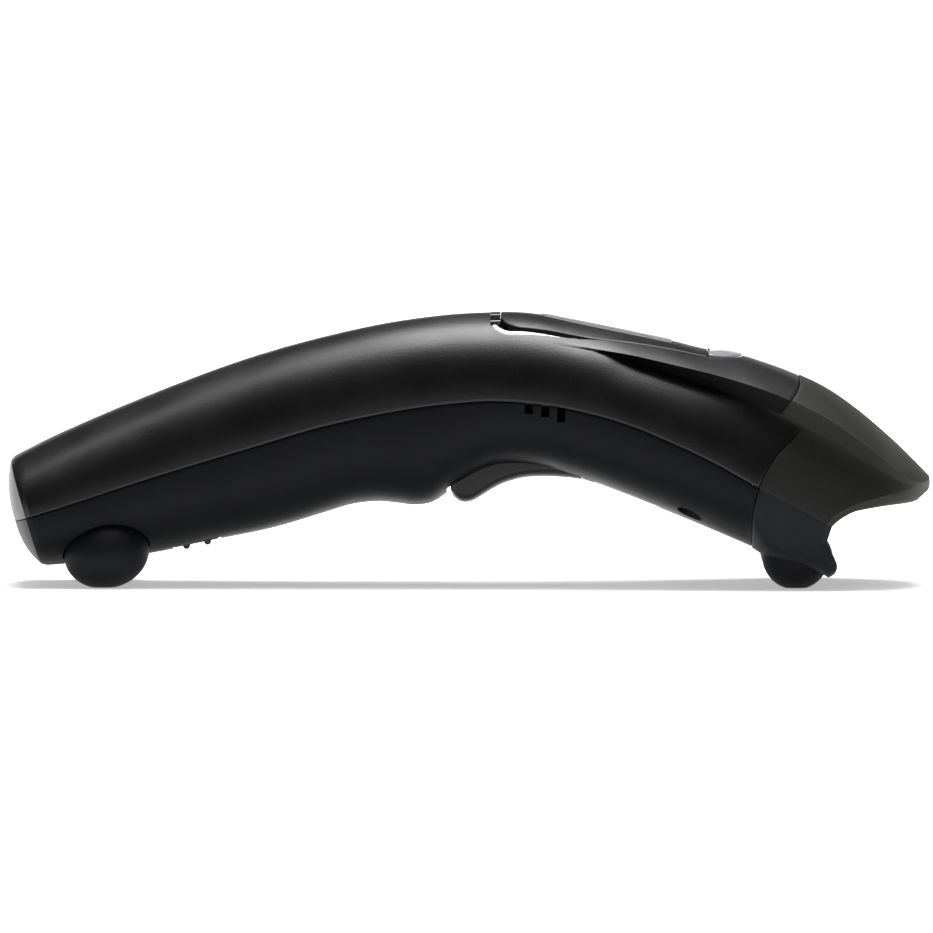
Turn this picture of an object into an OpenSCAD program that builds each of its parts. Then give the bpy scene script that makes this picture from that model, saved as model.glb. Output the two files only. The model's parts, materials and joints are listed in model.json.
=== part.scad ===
// Cordless handheld barcode scanner, lying on its four ball feet.
// +X points to the reading head, +Z is up, and the body is symmetric about Y = 0.
// The origin is on the surface it stands on, under the middle of its length.

/* [Body] */
// Thickness of the housing walls
wall = 2.2; // [1.8:0.1:2.4]
// Gap between two housing parts
gap = 0.1; // [0.06:0.02:0.2]
// Half-width of the handle at its middle
handle_half_width = 18.4; // [17:0.2:20]
// Half-width of the reading head
head_half_width = 27.6; // [26:0.2:29]
// How far the roof of the head stands out over its sides
hood_overhang = 1.4; // [0.8:0.1:1.8]

/* [Trim] */
// Half-width of the plate on the back
plate_half_width = 11.5; // [10:0.5:12]
// Thickness of the plate on the back
plate_t = 1.0; // [0.8:0.1:1.2]
// Thickness of the strip on the plate
badge_t = 0.5; // [0.3:0.1:0.6]

/* [Trigger] */
// Width of the trigger
trigger_w = 17; // [14:1:18]
// Angle the trigger turns through
trigger_travel = 5; // [3:0.5:5]
// Diameter of the trigger's hinge pin
pin_d = 2.0; // [1.6:0.2:2.4]
// Clearance between the hinge pin and the trigger, on the radius
pin_clearance = 0.05; // [0.03:0.01:0.08]

/* [Feet] */
// Half-length of a rear ball foot
rear_foot_x = 8.3; // [7.5:0.1:8.6]
// Half-height of a rear ball foot
rear_foot_z = 6.8; // [6:0.1:7]
// Radius of a front ball foot
front_foot_r = 6.6; // [6:0.1:7]
// Radius of the flat worn under each foot
foot_flat_r = 2.2; // [1.5:0.1:2.5]

/* [Battery] */
// Diameter of the cell
cell_d = 18.3; // [14:0.1:18.5]
// Length of the cell
cell_l = 49; // [40:1:50]

/* [Hidden] */

// ---- Curves ---------------------------------------------------------------------------
// A curve is a list of [x, value] points. curve() runs smoothly through all of them.
function rise(p, a, b) = (p[b][1] - p[a][1]) / (p[b][0] - p[a][0]);
function slope(p, i) =
    i == 0 ? rise(p, 0, 1)
    : i == len(p) - 1 ? rise(p, i - 1, i)
    : rise(p, i - 1, i + 1);
function span(p, x, i = 0) = i >= len(p) - 2 || x < p[i + 1][0] ? i : span(p, x, i + 1);
function curve(p, x) =
    let (
        i = span(p, x),
        h = p[i + 1][0] - p[i][0],
        t = (x - p[i][0]) / h,
        t2 = t * t,
        t3 = t2 * t
    )
    (2 * t3 - 3 * t2 + 1) * p[i][1] + (t3 - 2 * t2 + t) * h * slope(p, i)
        + (3 * t2 - 2 * t3) * p[i + 1][1] + (t3 - t2) * h * slope(p, i + 1);
function ease(a, b, x) = let (t = min(1, max(0, (x - a) / (b - a)))) t * t * (3 - 2 * t);
function mix(a, b, t) = a * (1 - t) + b * t;

// Heights of the back, the belly and the parting line along the body
BACK = [
    [-92, 23.4], [-80, 29.4], [-60, 37.9], [-40, 45.1], [-20, 50.2], [-5, 52.5], [8, 53.1],
    [14, 52.6], [20, 51.5], [30, 49.5], [40, 47.4], [46, 45.9], [52, 45.0], [58, 43.2],
    [64, 40.9], [70, 38.0], [76, 33.8], [82, 28.7], [86, 24.9], [90, 20.8]
];
BELLY = [
    [-84, 3.6], [-78, 4.1], [-62, 6.1], [-50, 8.6], [-38, 11.1], [-28, 14.1], [-23, 15.6],
    [-18, 16.2], [-14, 15.9], [-10.5, 15.5], [-7, 16.1], [-3.7, 18.3], [0, 20.5], [4, 22.5],
    [8, 23.2], [14, 22.8], [21, 20.9], [25, 19.6], [40, 13.8], [55, 7.5], [58, 6.0],
    [64, 4.6], [68, 3.2], [71, 1.8], [90, 1.0]
];
PARTING = [
    [-90, 12.4], [-80, 15.5], [-60, 22], [-40, 28], [-30, 31], [-20, 33.3], [-10, 35.1],
    [0, 36.2], [5, 36.4], [12, 36], [20, 34.8], [30, 32.2], [40, 28.2], [48, 24.4], [56, 20],
    [65, 15.5], [72, 11.5], [90, 3]
];
// Half-width at the parting line
SIDE = [
    [-92, 19], [-80, 19.4], [-60, handle_half_width + 0.4], [-40, handle_half_width],
    [-20, handle_half_width], [0, 18.8], [15, 19.8], [30, 22], [45, head_half_width - 2.6],
    [58, head_half_width - 0.6], [70, head_half_width], [90, head_half_width]
];
// Edge of the roof of the head: its height, its half-width and the height of the ridge below it
HOOD_Z = [
    [18, 47.2], [23, 46.8], [30, 45.7], [40, 43.5], [50, 41.1], [60, 37.8], [70, 32.9],
    [80, 25.7], [84.5, 21.7], [87, 20.5], [90, 20.3]
];
HOOD_Y = [[18, 14.6], [24, 15.6], [40, 19.5], [56, 23.5], [66, 25], [76, 25.4], [90, 25.4]];
RIDGE_Z = [
    [18, 47.2], [23, 46.7], [30, 44.6], [40, 41.3], [50, 38], [60, 34.2], [70, 28.9],
    [80, 23], [85, 20.3], [90, 19.7]
];
// Line along which the nose boot meets the housing, in the XZ plane
SEAM = [
    [64.3, 60], [64.3, 41], [64.5, 39.8], [63.8, 38.3], [62.5, 36.7], [60.3, 33.8],
    [64.5, 31.4], [62.5, 29], [60, 26.5], [58.4, 24.2], [57.1, 22], [56.1, 19.5],
    [55.4, 17], [55, 14], [55, 10], [55.2, -5]
];
// Edge of the mouth, in the XZ plane
MOUTH = [
    [91, 20.6], [90.2, 20.2], [89.1, 18.6], [87, 17.1], [80, 15.7], [75.6, 14.6],
    [73.2, 13.5], [71.2, 12.2], [70.1, 10.8], [69.7, 9], [70.1, 7], [71.5, 3.7], [71, 1.7]
];
tail_x = -86.2;         // middle of the tail face
tail_lean = 0.30;       // how far the tail face leans back, per mm of height
tail_z = 14.4;          // height of the middle of the tail face
tail_bulge = 2.8;       // how far the tail face swells out
nose_tip = 90;
nose_turn = 74;         // where the plan of the nose starts to round off
hood_start = 23;        // where the roof of the head begins
back_drop = 4.3;        // depth below the back at which the hood's edge line runs on the handle

function lean(x) = tail_lean * (1 - ease(tail_x, -8, x));
function middle(x) = mix(tail_z, 32, ease(tail_x, -8, x));
// A value on a leaning ring: the point of curve p on the plane of the ring at x
function on_ring(p, x, d = 0, n = 3, z = 20) =
    n == 0 ? z : on_ring(p, x, d, n - 1, curve(p, x - lean(x) * (z - middle(x))) + d);
function nose_end(x) = x < nose_turn ? 1 : sqrt(max(0.0004, 1 - pow((x - nose_turn) / 16.05, 2.6)));
function is_head(x) = ease(14, 34, x);

// ---- The outer skin, moved inwards by d -------------------------------------------------
ridge_drop = 0.4;   // least height of the band between the ridge and the hood's edge
back_exp = 2.25;
belly_exp = 2.5;
UP = 6;     // steps from the parting line to the ridge
ROOF = 6;   // steps from the hood's edge to the middle of the back
LOW = 8;    // steps from the parting line to the middle of the belly

// Half a ring from the middle of the belly up to the middle of the back, as [y, z] pairs
function half_ring(x, d) =
    let (
        zt = on_ring(BACK, x, -d),
        zb = on_ring(BELLY, x, d),
        zp = on_ring(PARTING, x),
        w = curve(SIDE, x) * nose_end(x) - d,
        k = is_head(x),
        zh = mix(zt - back_drop, curve(HOOD_Z, max(18, x)) - d, k),
        zr = min(zh - ridge_drop, mix(zh, curve(RIDGE_Z, max(18, x)) - d * 0.9, k)),
        yh = curve(HOOD_Y, max(18, x)) * nose_end(x) - d,
        yr = yh - hood_overhang * ease(hood_start, 40, x) * (1 - ease(76, 88, x)),
        turn_up = function (z) asin(pow(max(0, (z - zp) / (zt - zp)), back_exp / 2)),
        lower = [for (j = [0:LOW])
            let (a = -90 + 90 * j / LOW)
            [w * pow(cos(a), 2 / belly_exp), zp - (zp - zb) * pow(-sin(a), 2 / belly_exp)]],
        sides = [for (j = [1:UP])
            let (
                a = turn_up(zr) * j / UP,
                s = sin(90 * j / UP),
                round = [w * pow(cos(a), 2 / back_exp), zp + (zt - zp) * pow(sin(a), 2 / back_exp)],
                head = [w - (w - yr) * s * s, zp + (zr - zp) * mix(j / UP, s, 0.35)]
            )
            mix(round, head, k)],
        roof = [for (j = [0:ROOF])
            let (
                a = mix(turn_up(zh), 90, j / ROOF),
                t = 1 - j / ROOF,
                round = [w * pow(max(0, cos(a)), 2 / back_exp), zp + (zt - zp) * pow(sin(a), 2 / back_exp)],
                head = [yh * t, zt - (zt - zh) * t * t]
            )
            mix(round, head, k)]
    )
    concat(lower, sides, roof);

function ring(x, d) =
    let (
        h = half_ring(x, d),
        n = len(h),
        xs = function (z) x - lean(x) * (z - middle(x)),
        right = [for (p = h) [xs(p[1]), p[0], p[1]]],
        left = [for (i = [n - 2:-1:1]) [xs(h[i][1]), -h[i][0], h[i][1]]]
    )
    concat(right, left);

// A closed solid through rings of equal length, closed by a point at each end
module skin(rings, first, last) {
    m = len(rings[0]);
    n = len(rings);
    points = concat([for (r = rings) each r], [first, last]);
    polyhedron(points, concat(
        [for (i = [0:n - 2], j = [0:m - 1]) let (k = (j + 1) % m)
            each [[i * m + j, (i + 1) * m + j, (i + 1) * m + k],
                  [i * m + j, (i + 1) * m + k, i * m + k]]],
        [for (j = [0:m - 1]) [n * m, j, (j + 1) % m]],
        [for (j = [0:m - 1]) [n * m + 1, (n - 1) * m + (j + 1) % m, (n - 1) * m + j]]
    ), convexity = 8);
}

// A ring of the domed tail face, shrunk towards its middle by s
function tail_ring(s, d) =
    [for (p = ring(tail_x, d))
        let (q = [p[0], p[1] * s, mix(tail_z, p[2], s)], out = tail_bulge * (1 - pow(s, 2.6)))
        [tail_x - tail_lean * (q[2] - tail_z) - out, q[1], q[2] - out * tail_lean]];

STEPS = [
    -78, -70, -62, -54, -46, -38, -30, -24, -19, -15.5, -12.5, -10, -8, -6, -4, -1.5, 1.5, 5, 9,
    14, 19, 23, 28, 34, 40, 46, 52, 57.5, 62.6, 69, 74, 78, 81.5, 84.5, 86.5, 88, 89.2, nose_tip
];

// The whole outer form, with its sides moved inwards by d
module outer_form(d = 0) {
    skin(
        concat([for (s = [0.3, 0.55, 0.75, 0.9, 0.965]) tail_ring(s, d)],
            [for (x = concat([tail_x + 0.7], STEPS)) ring(x, d)]),
        [tail_x - tail_bulge, 0, tail_z - tail_bulge * tail_lean],
        [nose_tip + 0.1, 0, 20.5]
    );
}

// The form moved inwards by d, from x = a to x = b
module inner_form(d, a, b) {
    xs = concat([a], [for (x = STEPS) if (x > a + 0.5 && x < b - 0.5) x], [b]);
    skin([for (x = xs) ring(x, d)], [a, 0, middle(a)], [b, 0, min(20, curve(BACK, b) - 4)]);
}

// ---- Cutters -----------------------------------------------------------------------------
far = 100;
module along_y(w = far) rotate([90, 0, 0]) linear_extrude(w, center = true) children();
PART_STEPS = [for (x = [-95:5:95]) x];
module above_parting(lift) {
    along_y() polygon(concat(
        [for (x = PART_STEPS) [x, curve(PARTING, x) + lift]], [[95, far], [-95, far]]));
}
module below_parting(drop) {
    along_y() polygon(concat(
        [for (x = PART_STEPS) [x, curve(PARTING, x) - drop]], [[95, -far], [-95, -far]]));
}
module behind_seam() along_y() polygon(concat(SEAM, [[-far, -5], [-far, 60]]));
module before_seam() translate([gap, 0, 0]) along_y() polygon(concat(SEAM, [[far, -5], [far, 60]]));
module mouth_cut() along_y() polygon(concat(MOUTH, [[71, -10], [far, -10], [far, 20.6]]));

// ---- Plate on the back: its plan grown by g ------------------------------------------------
plate_rear = 6.2;
plate_front = 53.4;
module plate_plan(g) {
    hull() {
        for (y = [-1, 1])
            translate([plate_rear + 4.5, y * (plate_half_width - 4.5)]) circle(4.5 + g, $fn = 32);
        translate([plate_front - 11, 0]) circle(min(11, plate_half_width) + g, $fn = 48);
        translate([24, 0]) square([1, 2 * (plate_half_width + 0.4 + g)], center = true);
    }
}
// Plan of the trough round the rear of the plate
module trough_outline() {
    hull() {
        for (y = [-1, 1])
            translate([8.5, y * (plate_half_width - 2.2)]) circle(4.4, $fn = 32);
        translate([24, 0]) square([0.2, 2 * plate_half_width + 1], center = true);
    }
}
module trough_plan() {
    difference() {
        trough_outline();
        plate_plan(0);
    }
}
module over_roof(z = 30) translate([0, 0, z]) linear_extrude(40) children();

// ---- Feet -----------------------------------------------------------------------------------
rear_foot_tilt = -12;
rear_foot_at = [-70.6, 13.2, rear_foot_z * sqrt(1 - pow(foot_flat_r / rear_foot_x, 2))];
front_foot_at = [63.6, 15.5, sqrt(pow(front_foot_r, 2) - pow(foot_flat_r, 2))];
module rear_ball(g) {
    translate(rear_foot_at) rotate([0, rear_foot_tilt, 0])
        scale([rear_foot_x + g, 8 + g, rear_foot_z + g]) sphere(1, $fn = 28);
}
module front_ball(g) translate(front_foot_at) sphere(front_foot_r + g, $fn = 28);
module both_sides() for (y = [0, 1]) mirror([0, y, 0]) children();

// ---- Screws and boards ---------------------------------------------------------------------------
// [x, y, top of the counterbore, length]
SHELL_SCREWS = [[-75.5, 0, 8.4, 16], [43, 14.5, 19, 15], [43, -14.5, 19, 15]];
boss_r = 3.0;
screw_r = 1.2;
screw_head_r = 2.2;
screw_head_t = 1.8;
screw_play = 0.12;
BOARD_SCREWS = [[-9.5, 11], [-9.5, -11], [32, 11.5], [32, -11.5]];
board_z = 35.2;         // underside of the main board
board_t = 1.2;
board_top = board_z + board_t;

// ---- Trigger --------------------------------------------------------------------------------------
pivot = [20.5, 0, 26.8];
trigger_rear = -3.6;
// Lower outline of the trigger, from its rear lip to its hinge, in the XZ plane
TRIGGER_LINE = [
    [-3.6, 18.6], [-3, 17.3], [-1.8, 16.4], [-0.5, 16.2], [1, 16.6], [3, 17.8], [5.5, 19.3],
    [8, 20.3], [11, 21], [15, 21.2], [19, 21], [22, 20.6]
];
trigger_top = 24.2;
trigger_wall = 1.6;
lug_w = 2.4;            // width of each hinge lug
lug_y = 5.5;            // middle of each hinge lug
post_x = 4;             // where the trigger's post meets the switch
switch_top = board_z;
switch_h = 4;
plunger_r = 1.1;
plunger_travel = (pivot[0] - post_x) * sin(trigger_travel) + 0.16;
post_top = switch_top - switch_h - plunger_travel - 0.1;
spring_x = 11;
spring_r = 2.4;
spring_wire = 0.35;
spring_foot = 22.6;     // floor of the trigger under the spring

// ---- Optics: x runs along the reading direction from the middle of the window --------------------
optic_tilt = 40;
window_at = [67.5, 0, 19.6];   // middle of the window's outer face
module optic() translate(window_at) rotate([0, optic_tilt, 0]) children();

module block(lo, hi) translate(lo) cube(hi - lo);
// A block whose upright edges are rounded
module slab(lo, hi, r = 1) {
    w = hi[0] - lo[0];
    d = hi[1] - lo[1];
    translate(lo) linear_extrude(hi[2] - lo[2]) union() {
        translate([r, 0]) square([w - 2 * r, d]);
        translate([0, r]) square([w, d - 2 * r]);
        for (x = [r, w - r], y = [r, d - r]) translate([x, y]) circle(r, $fn = 24);
    }
}
module post(at, z0, z1, r) translate([at[0], at[1], z0]) cylinder(h = z1 - z0, r = r, $fn = 24);
// A moulded boss, a little wider at its foot than at its free end
module boss(at, z_foot, z_end, r) {
    hull() {
        post(at, min(z_foot, z_end), max(z_foot, z_end), r);
        translate([at[0], at[1], z_foot - 0.1]) cylinder(h = 0.2, r = r + 0.5, $fn = 24);
    }
}

// Inner walls that the housing halves carry round the mouth of the boot
module spigot() {
    difference() {
        union() {
            intersection() {
                outer_form(wall + gap);
                translate([2.4, 0, 0]) behind_seam();
                translate([-0.4, 0, 0]) before_seam();
                block([40, -far, -far], [65.5, far, far]);
            }
            intersection() {
                outer_form(wall - 0.2);
                behind_seam();
                translate([-1.6, 0, 0]) before_seam();
            }
        }
        inner_form(wall + 1.5, 40, 86);
    }
}

belly_tilt = 11.7;      // slope of the belly at the charging contacts
contacts_at = [-53.1, 0, 8.0];
module at_contacts() translate(contacts_at) rotate([0, -belly_tilt, 0]) children();

// ---- Slots -------------------------------------------------------------------------------------
// Sounder slots under the parting line: [from x, to x, lowest z]
VENTS = [[10.8, 12.4, 34.0], [14.0, 15.6, 33.4], [17.1, 18.7, 32.4]];
module vents() {
    for (v = VENTS)
        along_y() translate([v[0], v[2]]) square([v[1] - v[0], 4]);
}
// Opening of the belly in which the trigger swings
module trigger_slot() {
    block([trigger_rear - 1, -trigger_w / 2 - 0.35, 10], [22.4, trigger_w / 2 + 0.35, 28]);
}

// ---- Battery: its middle and the slope of its axis ------------------------------------------------
cell_at = [-41.5, 0, 28.2];
cell_tilt = -16.7;
cell_r = cell_d / 2;
sleeve_t = 0.25;
module at_cell() translate(cell_at) rotate([0, cell_tilt, 0]) children();
module along_x(l, r) translate([-l / 2, 0, 0]) rotate([0, 90, 0]) cylinder(h = l, r = r, $fn = 48);

// Ribs of the bottom shell that carry the battery's cradle
CRADLE_RIBS = [-59.4, -46, -34, -24];
module cradle_rib(x) {
    difference() {
        hull() {
            block([x - 0.7, -12, 0], [x + 0.7, 12, 14]);
            block([x - 0.5, -10, 14], [x + 0.5, 10, 24]);
        }
        at_cell() along_x(cell_l + 30, cell_r + sleeve_t + 1.7);
    }
}

// Stiffening ribs across the roof of the top shell, thinner at their free edge
ROOF_RIBS = [-65, -53, -41, -28, -9, 30];
module roof_rib(x) {
    z = curve(BACK, x) - wall;
    hull() {
        block([x - 0.8, -6, z + 0.4], [x + 0.8, 6, z + 0.7]);
        block([x - 0.5, -5, z - 1.3], [x + 0.5, 5, z + 0.3]);
    }
}

// Shallow bed of the rating label under the head, and the label itself
module label_plan() slab2([24.5, -9], [37.2, 9], 1.5);
module slab2(lo, hi, r) translate([lo[0] + r, lo[1] + r])
    offset(r) square([hi[0] - lo[0] - 2 * r, hi[1] - lo[1] - 2 * r]);
label_t = 0.2;
module label_bed(g) {
    difference() {
        translate([0, 0, 5]) linear_extrude(20) offset(g) label_plan();
        outer_form(label_t + 0.15);
    }
}

// ---- Housing ---------------------------------------------------------------------------------------
module bottom_shell() color([0.085, 0.09, 0.1]) {
    difference() {
        union() {
            intersection() {
                union() {
                    difference() {
                        intersection() {
                            outer_form();
                            behind_seam();
                        }
                        inner_form(wall, tail_x + 0.9, 80);
                    }
                    spigot();
                    // sockets of the rear feet
                    intersection() {
                        outer_form(0.2);
                        both_sides() rear_ball(1.5);
                    }
                    // bosses of the housing screws and posts of the main board
                    intersection() {
                        outer_form(1);
                        union() {
                            for (s = SHELL_SCREWS) boss(s, 0, 40, boss_r);
                            for (b = BOARD_SCREWS) boss(b, 10, board_z, 2.4);
                            for (x = CRADLE_RIBS) cradle_rib(x);
                        }
                    }
                }
                below_parting(gap / 2);
            }
        }
        both_sides() rear_ball(0.35);
        trigger_slot();
        vents();
        for (s = SHELL_SCREWS) {
            post(s, -5, s[2], screw_head_r + 0.25);
            post(s, -5, 40, screw_r + screw_play);
        }
        for (b = BOARD_SCREWS) post(b, 28, 40, 0.9 + screw_play);
        // opening for the contact block and shallow bed of the rating label
        at_contacts() block([-4.4, -6.6, -3], [4.4, 6.6, 4]);
        label_bed(0.1);
    }
}

module top_shell() color([0.11, 0.115, 0.12]) {
    difference() {
        union() {
            intersection() {
                union() {
                    difference() {
                        intersection() {
                            outer_form();
                            behind_seam();
                        }
                        inner_form(wall, tail_x + 0.9, 80);
                    }
                    spigot();
                    intersection() {
                        outer_form(1);
                        for (s = SHELL_SCREWS) boss(s, 50, 8, boss_r);
                    }
                    for (x = ROOF_RIBS) roof_rib(x);
                }
                above_parting(gap / 2);
            }
        }
        // bed of the plate and trough round its rear end
        difference() {
            over_roof() plate_plan(gap);
            outer_form(plate_t + 0.1);
        }
        difference() {
            over_roof() trough_plan();
            outer_form(1.4);
        }
        for (s = SHELL_SCREWS) post(s, 8, s[2] + s[3] + 1, screw_r + screw_play);
        // light openings under the indicator and under the light guide
        over_roof() light_openings(0.15);
    }
}

module light_openings(g) {
    translate([50, 0]) square([3 + 2 * g, 8 + 2 * g], center = true);
    translate([5, 0]) square([1 + 2 * g, 6 + 2 * g], center = true);
}

boot_lift = 0.2;        // how far the boot stands proud of the housing
module nose_boot() color([0.2, 0.2, 0.18]) {
    difference() {
        intersection() {
            outer_form(-boot_lift);
            before_seam();
        }
        inner_form(wall - boot_lift, 50, 87.3);
        mouth_cut();
        both_sides() front_ball(0.15);
    }
    // pads that hold the front feet
    intersection() {
        outer_form(0.3);
        difference() {
            both_sides() hull() {
                front_ball(1.2);
                translate([0, 3, 0]) front_ball(0.8);
            }
            both_sides() front_ball(0.15);
        }
        translate([60, -40, 0]) cube([7, 80, 8]);
    }
}

module top_plate() color([0.13, 0.13, 0.14]) {
    difference() {
        intersection() {
            difference() {
                inner_form(0, 2, 58);
                inner_form(plate_t, 1, 59);
            }
            over_roof() plate_plan(0);
        }
        over_roof() indicator_plan(0.1);
        over_roof() light_openings(0.15);
    }
}

badge_half_width = 6.5;
module badge_strip() color([0.62, 0.63, 0.65]) {
    intersection() {
        difference() {
            inner_form(-badge_t, 10, 44);
            inner_form(-0.02, 9, 45);
        }
        over_roof() hull() {
            translate([16, 0]) square([4, 2 * badge_half_width - 1], center = true);
            translate([37.5, 0]) square([4, 2 * badge_half_width], center = true);
        }
    }
}

// White light guide in the trough round the rear of the plate
guide_t = 0.9;
module light_guide() color([0.9, 0.9, 0.88]) {
    difference() {
        intersection() {
            difference() {
                inner_form(0.1, 0, 24);
                inner_form(1.3, -1, 25);
            }
            over_roof() difference() {
                offset(-0.1) trough_outline();
                offset(-guide_t - 0.1) trough_outline();
                plate_plan(0.1);
                translate([17, -20]) square([10, 40]);
            }
        }
    }
}

indicator_rear = 46.6;
module indicator_plan(g) {
    intersection() {
        offset(-0.8 + g) plate_plan(0);
        translate([indicator_rear - g, -20]) square([20, 40]);
    }
}
indicator_lift = 0.5;
module indicator_lens() color([0.7, 0.72, 0.75, 0.85]) {
    intersection() {
        difference() {
            inner_form(-indicator_lift, 42, 58);
            inner_form(plate_t, 41, 59);
        }
        over_roof() indicator_plan(0);
        translate([0, -20, 0]) cube([60, 40, 45.8]);
    }
}

// ---- Feet -------------------------------------------------------------------------------------------
module foot_cut() translate([-far, -far, -far]) cube([2 * far, 2 * far, far]);
module rear_foot() color([0.06, 0.065, 0.08]) {
    difference() {
        rear_ball(0);
        foot_cut();
    }
}
module front_foot() color([0.06, 0.065, 0.08]) {
    difference() {
        front_ball(0);
        foot_cut();
        translate([0, 0, front_foot_at[2] + 1.2]) block([0, 0, 0], [far, far, 10]);
    }
}
module rear_foot_left() rear_foot();
module rear_foot_right() mirror([0, 1, 0]) rear_foot();
module front_foot_left() front_foot();
module front_foot_right() mirror([0, 1, 0]) front_foot();

// ---- Trigger and its switch ---------------------------------------------------------------------
lug_r = 2.4;
pad_round_y = 4;        // how far the rounding of the finger pad reaches in from its sides
pad_round_z = 2;        // and up from its lowest line
pad_rim = trigger_top - 1;
// Ring of the finger pad at a point of its lower line: round below, open corners above
function pad_ring(at) =
    let (
        w = trigger_w / 2,
        arc = [for (i = [0:4]) let (a = 90 * i / 4)
            [w - pad_round_y + pad_round_y * sin(a), at[1] + pad_round_z * (1 - cos(a))]],
        half = concat([[w - pad_round_y - 2, at[1]]], arc, [[w, pad_rim]])
    )
    concat([for (p = half) [at[0], p[0], p[1]]],
        [for (i = [len(half) - 1:-1:0]) [at[0], -half[i][0], half[i][1]]]);
module finger_pad() {
    n = len(TRIGGER_LINE) - 1;
    skin([for (at = TRIGGER_LINE) pad_ring(at)],
        [TRIGGER_LINE[0][0], 0, 21], [TRIGGER_LINE[n][0], 0, 21.9]);
}
module trigger() color([0.1, 0.1, 0.11]) {
    difference() {
        union() {
            difference() {
                finger_pad();
                // hollow above the pad's floor
                block([trigger_rear + trigger_wall, -trigger_w / 2 + trigger_wall, spring_foot],
                    [17, trigger_w / 2 - trigger_wall, 30]);
            }
            // lugs round the hinge pin
            for (y = [-1, 1]) translate([0, y * lug_y, 0]) {
                translate(pivot) along_y(lug_w) circle(lug_r, $fn = 40);
                block([pivot[0] - lug_r, -lug_w / 2, 22], [pivot[0] + 1.5, lug_w / 2, pivot[2]]);
            }
            // post that lifts the plunger, and stud that centres the spring
            block([post_x - 1.2, -2, 21.5], [post_x + 1.2, 2, post_top]);
            translate([spring_x, 0, 21.6]) cylinder(h = 2.4, r = spring_r - spring_wire - 0.35, $fn = 24);
        }
        translate(pivot) along_y(40) circle(pin_d / 2 + pin_clearance, $fn = 40);
    }
}
module trigger_pin() color([0.75, 0.76, 0.78])
    translate(pivot) along_y(2 * (cheek_y + cheek_w)) circle(pin_d / 2, $fn = 40);

// Bracket under the main board that holds the hinge pin and backs the spring
bracket_t = 1.4;
bracket_z = 30;
cheek_w = 1.2;
cheek_y = 9;
cheek_r = 2.1;
module trigger_bracket() color([0.55, 0.57, 0.6]) {
    difference() {
        union() {
            block([7.6, -cheek_y - cheek_w, bracket_z], [29.2, cheek_y + cheek_w, bracket_z + bracket_t]);
            for (y = [-1, 1]) translate([0, y * (cheek_y + cheek_w / 2), 0]) {
                block([pivot[0] - cheek_r, -cheek_w / 2, pivot[2]],
                    [pivot[0] + cheek_r, cheek_w / 2, bracket_z + 0.5]);
                translate(pivot) along_y(cheek_w) circle(cheek_r, $fn = 40);
            }
            // feet up to the main board
            for (y = [-1, 1]) post([27, y * 6.5], bracket_z, board_z, 1.6);
        }
        translate(pivot) along_y(40) circle(pin_d / 2, $fn = 40);
    }
}
module trigger_spring() color([0.8, 0.81, 0.83])
    translate([spring_x, 0, spring_foot]) difference() {
        cylinder(h = bracket_z - spring_foot, r = spring_r, $fn = 32);
        translate([0, 0, -1]) cylinder(h = 12, r = spring_r - spring_wire, $fn = 32);
    }
module switch_body() color([0.12, 0.12, 0.13]) {
    translate([post_x, 0, switch_top - switch_h]) difference() {
        block([-3, -3, 0], [3, 3, switch_h]);
        translate([0, 0, -1]) cylinder(h = 3.2, r = plunger_r + 0.06, $fn = 32);
    }
}
module switch_plunger() color([0.9, 0.88, 0.8])
    translate([post_x, 0, switch_top - switch_h - plunger_travel])
        cylinder(h = plunger_travel + 0.5, r = plunger_r, $fn = 32);

// ---- Main board -----------------------------------------------------------------------------------
module main_board() color([0.05, 0.3, 0.16]) {
    difference() {
        slab([-12.8, -13.8, board_z], [37.5, 13.8, board_top], 1.5);
        for (b = BOARD_SCREWS) post(b, board_z - 1, board_top + 1, 1.25);
    }
}
module board_screws() color([0.7, 0.71, 0.73]) {
    for (b = BOARD_SCREWS) {
        post(b, board_z - 5, board_top + 0.01, 0.9);
        difference() {
            post(b, board_top, board_top + 1, 1.9);
            translate([b[0], b[1], board_top + 0.4]) block([-0.9, -0.2, 0], [0.9, 0.2, 2]);
            translate([b[0], b[1], board_top + 0.4]) block([-0.2, -0.9, 0], [0.2, 0.9, 2]);
        }
    }
}
module processor() color([0.08, 0.08, 0.09]) slab([-4, -5.5, board_top], [7, 5.5, board_top + 1.1], 0.3);
module memory_chips() color([0.1, 0.1, 0.11])
    for (y = [-9.6, 6.2]) slab([0, y, board_top], [6, y + 3.4, board_top + 0.9], 0.2);
module radio_module() color([0.78, 0.79, 0.8]) {
    slab([23.5, -6, board_top], [35, 6, board_top + 0.8], 0.3);
    slab([23.9, -5.6, board_top + 0.8], [31, 5.6, board_top + 2.2], 0.3);
}
beeper_at = [15, 7.2];
module beeper() color([0.09, 0.09, 0.1]) difference() {
    post(beeper_at, board_top, board_top + 4.2, 5.2);
    post(beeper_at, board_top + 3.6, board_top + 5, 1.1);
}
// Small boards under the light openings, each with its light
module status_leds() color([0.95, 0.95, 0.85]) {
    for (at = [[5, 47.3], [50, 40.2]]) {
        slab([at[0] - 3.5, -5, at[1]], [at[0] + 3.5, 5, at[1] + 0.6], 0.3);
        for (y = [-2.6, 0, 2.6])
            block([at[0] - 0.4, y - 0.7, at[1] + 0.6], [at[0] + 0.4, y + 0.7, at[1] + 1.1]);
    }
}

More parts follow.
